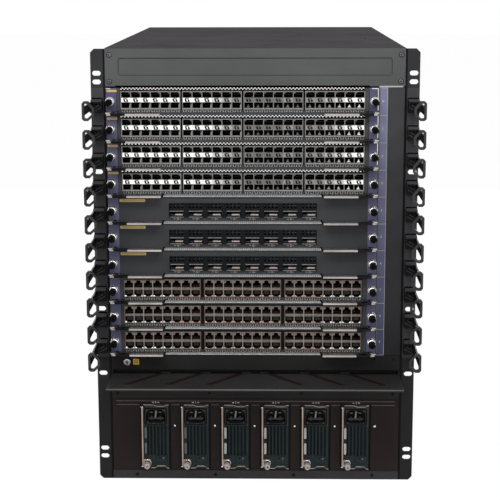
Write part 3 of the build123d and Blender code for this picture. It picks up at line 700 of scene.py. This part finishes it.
def card_ends(shape, paint="lavender", collars=((-203.1, -198.9), (162.3, 167.3))):
    """Lavender end caps, and the collars between them and the ports."""
    for x0, x1 in ((CARD_LEFT + 0.3, LAVENDER_LEFT), (LAVENDER_RIGHT, CARD_RIGHT - 0.3)):
        shape.block(x0, x1, -0.9, 0.0, 5.2, CARD_TOP - 0.5, paint, 0.3)
    for x0, x1 in collars:
        shape.block(x0, x1, -1.5, 0.0, 5.4, 37.6, "bar", 0.4)


def small_trim(paint, rim, edge_highlight=False, top_highlights=False):
    """Springs, tag, marks and ends of a card with small ports, with painted highlights on the edges of the
    uppermost ones.
    """
    shape = Shape()
    card_ends(shape, paint)
    # Painted highlights: bright strips on the lit edges of the uppermost cards.
    if edge_highlight:
        shape.block(180.2, 181.6, -1.3, 0.0, 7.0, CARD_TOP - 0.4, "bright", 0.2)
    if top_highlights:
        for x0, x1 in ((-219.2, -212.4), (171.2, 181.6)):
            shape.block(x0, x1, -1.4, 0.0, CARD_TOP - 1.7, CARD_TOP - 0.1, "bright", 0.2)
    # Painted shade: a black strip under the springs along the card's top edge.
    shape.block(-197.8, 161.8, -0.3, 0.0, 36.2, 39.9, "hole")
    zigzag(shape, -197.0, 161.0, 39.2, 0.85, 0.28, 5.12, -1.0, -0.2, "spring_5")
    tag(shape, -218.4, -202.2, 34.1, 37.5, -0.9, rim, "amber_field")
    for middle in spread(-18.0, 4, 90.4):
        marks(shape, middle, 24, 3.64, 4.7)
    return shape.mesh("small_trim")


def contact_strip():
    """Light contact strip along the lower edge of a card, between the ends of the levers."""
    shape = Shape()
    shape.block(-137.0, 99.4, -1.2, 0.0, -0.3, 1.2, "silver", 0.25)
    shape.block(-137.0, 99.4, -0.9, 0.0, 1.2, 3.4, "spring_2", 0.1)
    for foot, lean in ((-138.6, 2.6), (101.0, -2.6)):
        shape.prism(quad(foot, -0.3, -1.1, 1.1, 5.0, lean + 1.3, lean - 1.3), -1.4, 0.0, "hole")
    for x in spread(-18.8, 79, 2.96):
        shape.bar(x, 0.6, -0.98, -0.7, 1.6, 2.7, "web")
    return shape.mesh("contact_strip")


def large_trim():
    """Tag, frame of the name field and ends of a card with large ports."""
    shape = Shape()
    card_ends(shape, collars=())
    tag(shape, -202.4, -163.8, 32.6, 37.2, 0.0, "amber", "amber_field")
    shape.rim(rounded(128.0, 160.5, 33.4, 36.8, 1.2), 0.5, -0.15, 0.0, "violet")
    shape.block(-200.5, 163.5, -0.5, 0.0, 38.0, 39.8, "face", 0.2)
    return shape.mesh("large_trim")


def jack_trim():
    """Green tag, marks and ends of a card with jacks."""
    shape = Shape()
    card_ends(shape)
    # Painted shade: a black strip along the card's top edge.
    shape.block(-197.8, 161.8, -0.3, 0.0, 36.6, 38.0, "hole")
    shape.prism(rounded(-203.4, -181.4, 36.2, 38.2, 0.7), -1.75, 0.0, "green", 0.1)
    for middle in spread(-19.1, 3, 121.2):
        marks(shape, middle, 32, 3.6, 4.6)
    return shape.mesh("jack_trim")


def captive_screws():
    """Knurled black heads on bright collars, and the levers' rivets on their brackets."""
    shape = Shape()
    z = CARD_TOP / 2
    for x in SCREW_XS:
        shape.turned(x, z, [(6.2, -0.8), (6.9, -1.3), (6.9, -3.4), (6.1, -4.2), (6.1, -10.4), (5.4, -11.0)],
                     32, "bright")
        shape.prism(circle(x, z, 5.2, 48, 4.9), -20.4, -11.0, "knob", 0.5)
        shape.turned(x, z, [(4.0, -20.4), (3.6, -20.75), (1.6, -20.75)], 24, "knob")
        shape.cross(x, z, 2.2, 0.35, -20.82, -20.6, "hole")
        shape.turned(x, -6.5, [(3.0, 4.7), (3.0, 5.3), (2.2, 5.9), (0.6, 5.95)], 20, "silver", axis="z")
    return shape.mesh("captive_screws")


def board_parts():
    """Chips, cooling fins and capacitors on the board, which show when a card is pulled out."""
    shape = Shape()
    top = 7.6

    def part(x, half, y0, y1, high, paint, edge, low=0.0):
        shape.prism(rectangle(x - half, x + half, y0, y1), top + high, top + low, paint, edge, "z")

    for x, y in ((-120, 130), (0, 130), (110, 130)):
        part(x, 24, y - 24, y + 24, 3.0, "chip", 0.4)
        for fin in spread(x, 12, 3.8):
            part(fin, 0.6, y - 23, y + 23, 16.0, "silver", 0.2, 3.0)
    for x in spread(-18, 7, 48.0):
        part(x, 11, 212, 234, 1.8, "chip", 0.3)
        shape.turned(x + 17, 300, [(4.0, top), (4.0, top + 10.0), (3.6, top + 10.6)], 16, "dull", axis="z")
    for x in spread(-18, 9, 36.0):
        part(x, 6, 340, 366, 2.4, "chip", 0.3)
        part(x, 3, 250, 256, 1.2, "beige", 0.2)
    return shape.mesh("board_parts")


PORTS = {"small": small_ports(), "large": large_ports(), "jack": jack_ports()}
# The top card's trim takes the darker copies of the lavender and amber paints and painted highlights on its
# edges; the next two cards' trim a painted highlight on the right edge.
TRIMS = {"small": small_trim("lavender", "amber"), "large": large_trim(), "jack": jack_trim()}
TOP_TRIM = small_trim("lavender_top", "amber_top", True, True)
EDGE_HIGHLIGHT_TRIM = small_trim("lavender", "amber", True)
SCREWS, CHIPS, STRIP = captive_screws(), board_parts(), contact_strip()
for number, kind in enumerate(KINDS):
    body, low = f"card_{number}", card_low(number)
    put(PORTS[kind], f"{kind}_ports_{number}", body, z=low)
    trim = TOP_TRIM if number == 0 else EDGE_HIGHLIGHT_TRIM if number < 3 else TRIMS[kind]
    put(trim, f"card_trim_{number}", body, z=low)
    if number > 2:
        put(STRIP, f"contact_strip_{number}", body, z=low)
    put(SCREWS, f"captive_screws_{number}", body, z=low)
    put(CHIPS, f"board_parts_{number}", body, z=low)


# Chassis front: fascia screws, label strip, lower rail, tray, power panel and ears


def front_fixings():
    """Screws of the fascia, the rail and the tray, the recess for a nameplate, and studs over the windows; a
    light line of painted highlight at the fascia's right foot and a black line of painted shade under the
    fascia.
    """
    shape = Shape()
    shape.rim(rounded(-200.9, 200.9, 623.8, 649.7, 2.5), 0.9, 0.5, 1.0, "case")
    # Painted highlight: a light line at the fascia's right foot.
    shape.block(182.4, 217.0, -0.5, 0.0, 606.4, 608.6, "mark", 0.2)
    for x in (-213.7, 213.7):
        for z in (654.0, 615.0):
            shape.ring(x, z, 3.9, 3.3, 24, -0.15, 0.0, "hole")
            shape.screw(x, z, 0.0, 3.2, "dull")
    # Painted shade: a black line under the fascia.
    shape.block(-205.0, 168.0, -0.3, 0.0, 607.1, 609.2, "hole")
    for z, xs in ((196.0, (-214.0,)), (194.0, (181.0, 210.0)), (138.0, (-212.0, -70.0, 70.0, 210.0)),
                  (7.0, (-183.0, -62.0, 59.0, 180.0))):
        for x in xs:
            shape.screw(x, z, 0.0, 2.7, "black")
    for x in (-123.7, -62.0, -1.0, 60.5, 122.0, 183.0):
        shape.turned(x, 86.0, [(1.8, 0.0), (1.8, -0.4), (1.0, -1.2), (0.3, -1.4)], 16, "bright")
    return shape.mesh("front_fixings")


def label_strip():
    """Thin light lines between the slots and along the strip's edge, and its folded left edge."""
    shape = Shape()
    left, right = 182.4, 194.2
    shape.block(right - 0.1, right + 0.7, -0.35, 0.0, SLOTS_LOW, SLOTS_HIGH, "mark", 0.1)
    for index in range(SLOT_COUNT):
        z = SLOTS_LOW + index * SLOT_PITCH
        shape.prism([(left - 0.2, -0.1), (left + 0.9, -1.1), (left + 1.3, -1.1), (left + 1.3, 0.0)],
                    z + 0.5, z + SLOT_PITCH - 0.5, "dull", 0.0, "z")
    for index in range(SLOT_COUNT + 1):
        z = min(max(SLOTS_LOW + index * SLOT_PITCH, SLOTS_LOW + 0.3), SLOTS_HIGH - 0.3)
        shape.block(left, right, -0.12, 0.0, z - 0.4, z + 0.4, "mark")
    return shape.mesh("label_lines")


def power_lines():
    """Raised ribs across the top of the power panel, its inner one open at every window."""
    shape = Shape()
    left, right = -213.5, 213.5
    shape.block(left, right, -0.7, 0.0, 125.1, 126.4, "edge", 0.3)
    edges = [left] + [x + shift for x in MODULE_XS for shift in (-24.4, 24.4)] + [right]
    for start, end in zip(edges[::2], edges[1::2]):
        shape.block(start, end, -0.7, 0.0, 119.0, 120.3, "edge", 0.3)
        shape.block(start, end, -0.4, 0.0, 15.4, 16.2, "power", 0.2)
    return shape.mesh("power_lines")


def tray_fittings():
    """Rolled front edge, cable tie tabs at the ends of the tray's slots, and diagonal stripes of painted shadow
    running from each rear tab to the front.
    """
    shape = Shape()
    end, face = 219.4, 168.0
    shape.prism([(-73.0, 164.9), (-73.4, 165.4), (-73.4, 167.6), (-73.0, 168.1), (-69.0, 168.3), (-69.0, 168.0),
                 (-72.6, 167.9), (-72.6, 165.1)], -end, end, "tray", 0.0, "x")
    shape.prism([(-73.3, 166.7), (-73.7, 166.9), (-73.7, 168.1), (-73.2, 168.5), (-72.4, 168.5), (-72.4, 168.0),
                 (-73.3, 168.0)], -end, end, "edge", 0.0, "x")
    for x in (14.0, 75.5, 137.0):
        for side in (-1, 1):
            shape.bar(side * x, 7.0, 6.0, 11.6, face, face + 1.6, "bar", 0.4)
            front = side * (x + 63.0)
            shape.bar(front, 6.0, -56.0, -50.0, face, face + 0.5, "tray", 0.2)
            # Painted shadow: a dark diagonal stripe from each rear tab to the front.
            rear, lean, shift = side * (x + 6.0), side * 5.0, side * 8.0
            shape.prism([(rear - lean, 5.0), (rear + lean, 5.0), (front + lean - shift, -50.0),
                         (front - lean - shift, -50.0)], face + 0.25, face, "streak", 0.0, "z")
    return shape.mesh("tray_fittings")


put(front_fixings(), "front_fixings", "chassis")
put(label_strip(), "label_lines", "chassis")
put(power_lines(), "power_panel_ribs", "chassis")
put(tray_fittings(), "tray_fittings", "chassis")

ring = Shape()
ring.ring(-195.7, 187.5, 5.4, 2.5, 32, -1.9, 0.0, "bright", 0.4)
put(ring.mesh("jack_ring"), "strap_jack_ring", "chassis")
plate = Shape()
plate.prism(rounded(-186.6, -177.4, 183.4, 192.6, 0.9), -0.2, 0.0, "yellow", 0.05)
plate.prism(rounded(-185.0, -179.0, 185.0, 191.0, 0.6), -0.24, -0.15, "yellow_field")
put(plate.mesh("yellow_tag"), "yellow_tag", "chassis")


def numerals(places, size, depth):
    """Plain numbers standing on the ear face's plane: (text, x, z) each."""
    merged = bmesh.new()
    for text, x, z in places:
        curve = bpy.data.curves.new("numeral", "FONT")
        curve.body, curve.size, curve.extrude, curve.resolution_u = text, size / 1000, depth / 1000, 3
        curve.align_x, curve.align_y = "CENTER", "CENTER"
        holder = bpy.data.objects.new("numeral", curve)
        bpy.context.scene.collection.objects.link(holder)
        holder.rotation_euler = (math.pi / 2, 0, 0)
        holder.location = (x / 1000, EAR_Y / 1000, z / 1000)
        bpy.context.view_layer.update()
        solid = bpy.data.meshes.new_from_object(holder.evaluated_get(bpy.context.evaluated_depsgraph_get()))
        solid.transform(holder.matrix_world)
        merged.from_mesh(solid)
        bpy.data.objects.remove(holder)
    made = bpy.data.meshes.new("numerals")
    merged.to_mesh(made)
    merged.free()
    made.materials.clear()
    made.materials.append(PAINTS["white"])
    return made


slot_numbers = [(str(number), 188.2, card_low(number) + 20.5) for number in range(SLOT_COUNT)]
put(numerals(slot_numbers, 4.2, 0.08), "slot_numerals", "chassis")
bay_numbers = [(str(number), x + 0.5, 123.2) for number, x in enumerate(MODULE_XS)]
put(numerals(bay_numbers, 4.4, 0.1), "bay_numerals", "chassis")
dashes = Shape()
for x in MODULE_XS:
    for side in (-1, 1):
        dashes.bar(x + 0.5 + side * 4.0, 1.5, -0.12, 0.0, 122.7, 123.7, "white")
put(dashes.mesh("bay_dashes"), "bay_dashes", "chassis")


# Power modules


def module_trim(tag_paint):
    """Edges of the module's sheet cover, ribs of its grille, lamp, tags and the pins of the inlet."""
    shape = Shape()
    top, low, inlet, lamps = MODULE_LOW + 103.0, MODULE_LOW + 0.4, MODULE_LOW + 84.6, MODULE_LOW + 17.2
    path_high = [(-18.3, top), (-2.5, top), (1.8, top - 2.2), (14.2, top - 2.2), (16.8, top), (20.4, top)]
    path_low = [(-8.0, low + 0.6), (-1.0, low + 0.6), (2.2, low + 3.8), (14.4, low + 3.8), (17.0, low + 0.2),
                (20.4, low + 0.2)]
    for path in (path_high, path_low):
        for (ax, az), (bx, bz) in zip(path, path[1:]):
            outline = [(ax, az - 0.6), (bx, bz - 0.6), (bx, bz + 0.6), (ax, az + 0.6)]
            shape.prism(outline, -0.8, 0.6, "pull", 0.25)
    shape.prism([(-2.0, inlet - 2.4), (1.0, inlet - 3.0), (2.6, inlet + 8.8), (-0.6, inlet + 9.4)], 1.0, 18.9,
                "dull", 0.5)
    for side in (-1, 1):
        shape.bar(0.2 + side * 6.4, 2.1, 3.4, 18.9, inlet + 4.6, inlet + 6.0, "dull", 0.3)
    shape.block(-11.4, 12.0, 4.5, 18.9, inlet - 6.6, inlet - 3.4, "inlet", 0.5)
    shape.rim(rounded(-16.9, 17.3, inlet - 13.1, inlet + 13.1, 2.0), 1.6, -1.5, -0.9, "knob", 0.3)
    shape.prism([(x, inlet - down) for x, down in (
        (-13.2, 8.4), (-12.4, 8.4), (-10.8, 10.8), (11.2, 10.8), (12.8, 8.4), (13.6, 8.4), (12.0, 11.8),
        (-11.6, 11.8))], 0.2, 3.0, "dull", 0.2)
    for x in spread(1.2, 6, 5.4):
        shape.bar(x, 1.45, 1.9, 6.0, 38.4, 86.0, "groove", 0.4)
    for z0, z1 in ((65.0, 83.0), (40.0, 58.0)):
        shape.prism(rounded(-17.4, -13.9, z0, z1, 1.6), 0.25, 0.5, tag_paint, 0.08)
    shape.rim(rounded(0.9, 17.1, MODULE_LOW + 10.6, MODULE_LOW + 20.8, 0.8), 0.7, -0.75, -0.5, "teal", 0.1)
    shape.turned(11.5, lamps, [(1.0, -0.4), (1.0, -1.0), (0.7, -1.25), (0.2, -1.3)], 14, "lamp")
    shape.turned(6.0, lamps, [(1.0, -0.4), (1.0, -0.65)], 14, "hole")
    shape.block(-7.6, 16.4, 0.0, 0.5, MODULE_LOW + 5.2, MODULE_LOW + 8.0, "teal", 0.2)
    return shape.mesh("module_trim")


def pull_screw():
    """Captive screw of a power module's lever: collar, knurled head and its recess."""
    shape = Shape()
    x, z = -12.25, 26.5
    shape.turned(x, z, [(5.2, -1.8), (5.2, -3.0), (4.5, -3.6), (4.5, -9.0), (4.1, -9.6)], 28, "silver")
    shape.prism(circle(x, z, 4.3, 40, 3.95), -20.2, -9.6, "satin", 0.5)
    shape.cross(x, z, 2.1, 0.35, -20.3, -20.1, "hole")
    for end in (21.6, 117.4):
        shape.block(-22.1, -19.1, -6.3, -5.8, end - 0.6, end + 0.6, "bright", 0.2)
    return shape.mesh("pull_screw")


SHADED_TRIM, TRIM, PULL = module_trim("tag_shade"), module_trim("white"), pull_screw()
for number, x in enumerate(MODULE_XS):
    trim = SHADED_TRIM if number < 2 else TRIM
    put(trim, f"module_trim_{number}", f"power_module_{number}", x=x)
    put(PULL, f"pull_screw_{number}", f"power_lever_{number}", x=x)


# Cable guides: tabs, screw holes, and webs between block and arm


def guide_fittings(side):
    """Fixing tabs and diagonal lines in a lighter grey of painted highlight, a black line of painted shadow
    above each tab, dark screw holes, and webs from each block down to its arm.
    """
    shape = Shape()
    outer, inner = side * 241.1, side * 224.1
    low_x, high_x = min(outer, inner), max(outer, inner)
    near, far = outer - side * 0.6, outer - side * 3.0
    for index in range(SLOT_COUNT):
        base = SLOTS_LOW + 4.6 + index * SLOT_PITCH

        def upright(points, left, right, paint, edge):
            shape.prism([(y, base + z) for y, z in points], left, right, paint, edge, "x")

        # Painted highlight: the tab's lit top.
        upright([(-0.3, 19.6), (-4.3, 19.6), (-9.6, 16.6), (-9.4, 15.7), (-4.0, 18.8), (-0.3, 18.8)],
                low_x + 0.6, high_x - 0.6, "guide_edge", 0.0)
        # Painted shadow: a black line above the tab.
        shape.block(low_x, high_x, -0.3, 0.0, base + 19.6, base + 21.4, "hole")
        for hole in spread((low_x + high_x) / 2, 3, 5.2):
            shape.prism(circle(hole, base + 12.9, 1.3, 10), -11.6, -10.0, "hole")
        # Painted highlight: lighter diagonal lines on the block.
        for top, low in ((14.2, 5.4), (9.0, 1.2)):
            shape.prism([(inner + side, base + top), (inner + side, base + top - 1.3),
                         (outer - side * 1.6, base + low - 1.3), (outer - side * 1.6, base + low)],
                        -11.4, -10.6, "guide_edge", 0.2)
        upright([(-11.0, -1.0), (-11.0, 17.0), (-40.0, 12.6), (-40.0, 6.0)], near, far, "guide", 0.3)
        upright([(-10.8, 12.0), (-10.8, 17.0), (-90.2, 17.4), (-90.2, 12.0)], near, far, "guide", 0.3)
    return shape.mesh("guide_fittings")


put(guide_fittings(-1), "guide_fittings_left", "chassis")
put(guide_fittings(1), "guide_fittings_right", "chassis")


# Cover, sides and rear


def case_fixings():
    """Screws of the top cover, the side walls and the rear wall."""
    shape = Shape()
    for x, y in ((70.6, 370.0), (177.0, 367.0), (177.6, 260.0), (176.9, 137.0)):
        for side in (-1, 1):
            shape.screw(side * x, y, 663.3, 2.6, "black", axis="z", out=1.0)
    for side in (-1, 1):
        for y in (60.0, 210.0, 360.0, 510.0, 660.0):
            for z in (22.0, 330.0, 640.0):
                shape.screw(y, z, side * HALF_WIDTH, 3.0, "dull", axis="x", out=side)
        for z in spread(FAN_MIDDLE, 4, 120.0):
            shape.screw(side * 210.5, z, REAR_Y, 2.8, "dull", out=1.0)
    for x in spread(0.0, 4, 120.0):
        for z in (645.0, 30.0):
            shape.screw(x, z, REAR_Y, 2.8, "dull", out=1.0)
    return shape.mesh("case_fixings")


def fan_fittings():
    """Wire guards, blades and motor caps of a fan tray, its grip and captive screws."""
    shape = Shape()
    face = REAR_Y + 2.3
    for z in FAN_ZS:
        shape.ring(0, z, 87.0, 80.0, 64, face + 0.9, face - 0.4, "fan", 0.3)
        for radius in (24.0, 36.0, 48.0, 60.0, 72.0):
            shape.ring(0, z, radius + 0.9, radius - 0.9, 56, face + 2.6, face + 1.0, "silver", 0.4)
        for arm in range(4):
            turn = math.pi / 4 + arm * math.pi / 2
            across, along = math.cos(turn), math.sin(turn)
            outline = [(across * reach - along * side, z + along * reach + across * side)
                       for reach, side in ((20.0, 1.1), (84.0, 1.1), (84.0, -1.1), (20.0, -1.1))]
            shape.prism(outline, face + 1.4, face + 0.2, "silver", 0.2)
        for blade in range(7):
            start = 2 * math.pi * blade / 7
            rings = []
            for radius, twist, low, high in ((35.0, 0.0, -38.0, -8.0), (58.0, 0.14, -36.0, -12.0),
                                             (80.0, 0.30, -33.0, -15.0)):
                lead, tail = start + twist, start + twist + 0.62
                rings.append([(radius * math.cos(angle), z + radius * math.sin(angle), face + y) for angle, y in
                              ((lead, low), (tail, high), (tail, high + 2.0), (lead, low + 2.0))])
            shape.rings(rings, "y", "knob")
        shape.turned(0, z, [(22.0, face + 0.2), (22.0, face + 1.4), (20.5, face + 2.0), (4.0, face + 2.0)],
                     40, "dull")
    for x in (-94.0, 94.0):
        for z in (FAN_MIDDLE - 190.0, FAN_MIDDLE + 190.0):
            shape.turned(x, z, [(5.2, face), (5.2, face + 3.0), (4.6, face + 3.6), (4.6, face + 10.0),
                                (4.0, face + 10.8), (1.0, face + 10.8)], 24, "silver")
    grip = rounded(-6.6, 6.6, FAN_MIDDLE - 34.0, FAN_MIDDLE + 34.0, 2.0)
    shape.prism(grip, face + 26.0, face + 18.4, "knob", 0.9)
    return shape.mesh("fan_fittings")


put(case_fixings(), "case_fixings", "chassis")
FANS = fan_fittings()
for number, x in enumerate(FAN_XS):
    put(FANS, f"fan_fittings_{number}", f"fan_tray_{number}", x=x)


# Floor, backdrop, light and camera


def background_rays(tree):
    """1 for rays from the camera, off metal or through glass, which see a plain white background."""
    rays = tree.nodes.new("ShaderNodeLightPath").outputs
    found = rays["Is Camera Ray"]
    for kind in ("Is Glossy Ray", "Is Transmission Ray"):
        both = tree.nodes.new("ShaderNodeMath")
        both.operation = "MAXIMUM"
        tree.links.new(found, both.inputs[0])
        tree.links.new(rays[kind], both.inputs[1])
        found = both.outputs[0]
    return found


def pale(name):
    """Pale grey that the camera and reflections see as plain white."""
    made = Graph(name)
    seen = background_rays(made.tree)
    made.set(Base_Color=(0.62, 0.62, 0.62, 1.0), Roughness=0.9, Specular_IOR_Level=0.0)
    glow = made.node("ShaderNodeEmission", {"Color": (1, 1, 1, 1), "Strength": 1.08}).outputs[0]
    mixed = made.node("ShaderNodeMixShader", {0: made.times(seen, 0.9), 1: made.shader.outputs[0], 2: glow})
    made.tree.links.new(mixed.outputs[0], made.tree.nodes["Material Output"].inputs["Surface"])
    return made.material


FLOOR_HALF = 14.0
floor_mesh = bpy.data.meshes.new("floor")
corners = [(x * FLOOR_HALF, y * FLOOR_HALF, 0) for x, y in ((-1, -1), (1, -1), (1, 1), (-1, 1))]
floor_mesh.from_pydata(corners, [], [(0, 1, 2, 3)])
floor_mesh.materials.append(pale("floor_white"))
floor = bpy.data.objects.new("floor", floor_mesh)
bpy.context.scene.collection.objects.link(floor)
floor.location = (0, 0, -0.0005)

world = bpy.data.worlds.new("studio")
bpy.context.scene.world = world
world.use_nodes = True
tree = world.node_tree
background = tree.nodes["Background"]
white = tree.nodes.new("ShaderNodeBackground")
white.inputs[0].default_value, white.inputs[1].default_value = (1, 1, 1, 1), 1.0
background.inputs[0].default_value, background.inputs[1].default_value = (1, 1, 1, 1), 0.22
blend = tree.nodes.new("ShaderNodeMixShader")
tree.links.new(background_rays(tree), blend.inputs[0])
tree.links.new(background.outputs[0], blend.inputs[1])
tree.links.new(white.outputs[0], blend.inputs[2])
tree.links.new(blend.outputs[0], tree.nodes["World Output"].inputs["Surface"])


def lamp(name, place, target, width, height, watts):
    data = bpy.data.lights.new(name, "AREA")
    data.shape, data.size, data.size_y, data.energy = "RECTANGLE", width, height, watts
    made = bpy.data.objects.new(name, data)
    made.visible_camera = False
    bpy.context.scene.collection.objects.link(made)
    made.location = place
    made.rotation_mode = "QUATERNION"
    made.rotation_quaternion = (Vector(target) - Vector(place)).to_track_quat("-Z", "Y")


lamp("above_left", (-0.51, -1.05, 1.55), (-0.25, -0.3, 0.5), 0.84, 0.5, 8.6)
lamp("above_right", (0.53, -1.05, 1.55), (0.25, -0.3, 0.5), 0.84, 0.5, 8.6)
lamp("front_soft", (0.0, -2.9, 1.25), (0.0, -0.3, 0.4), 2.4, 1.4, 8.0)
lamp("overhead", (0.0, 1.0, 2.2), (0.0, 0.45, 0.66), 1.8, 1.2, 4.5)
lamp("side_left", (-1.9, -1.2, 1.1), (0.0, -0.3, 0.5), 0.5, 1.2, 5.5)
lamp("side_right", (1.9, -1.2, 1.1), (0.0, -0.3, 0.5), 0.5, 1.2, 5.5)
lamp("rear_soft", (0.0, 2.4, 0.36), (0.0, 0.5, 0.36), 2.0, 0.5, 24.0)

FOCAL, PITCH, YAW, ROLL = 1302.2151, 0.1823, 0.0196, -0.0023
SENSOR, FRAME_PIXELS, AXIS_ROW = 36.0, 500.0, 210.0
ahead = Vector((-math.sin(YAW) * math.cos(PITCH), math.cos(YAW) * math.cos(PITCH), -math.sin(PITCH)))
right = Vector((math.cos(YAW), math.sin(YAW), 0.0))
upward = right.cross(ahead)
turned_right = right * math.cos(ROLL) + upward * math.sin(ROLL)
turned_up = upward * math.cos(ROLL) - right * math.sin(ROLL)
view = bpy.data.cameras.new("camera")
view.sensor_width = SENSOR
view.lens = FOCAL * SENSOR / FRAME_PIXELS
view.shift_y = (AXIS_ROW - FRAME_PIXELS / 2) / FRAME_PIXELS
camera = bpy.data.objects.new("camera", view)
bpy.context.scene.collection.objects.link(camera)
camera.matrix_world = Matrix((turned_right, turned_up, -ahead)).transposed().to_4x4()
camera.location = (0.0298273, -2.22577, 0.7757722)
bpy.context.scene.camera = camera
bpy.context.scene.view_settings.view_transform = "Standard"
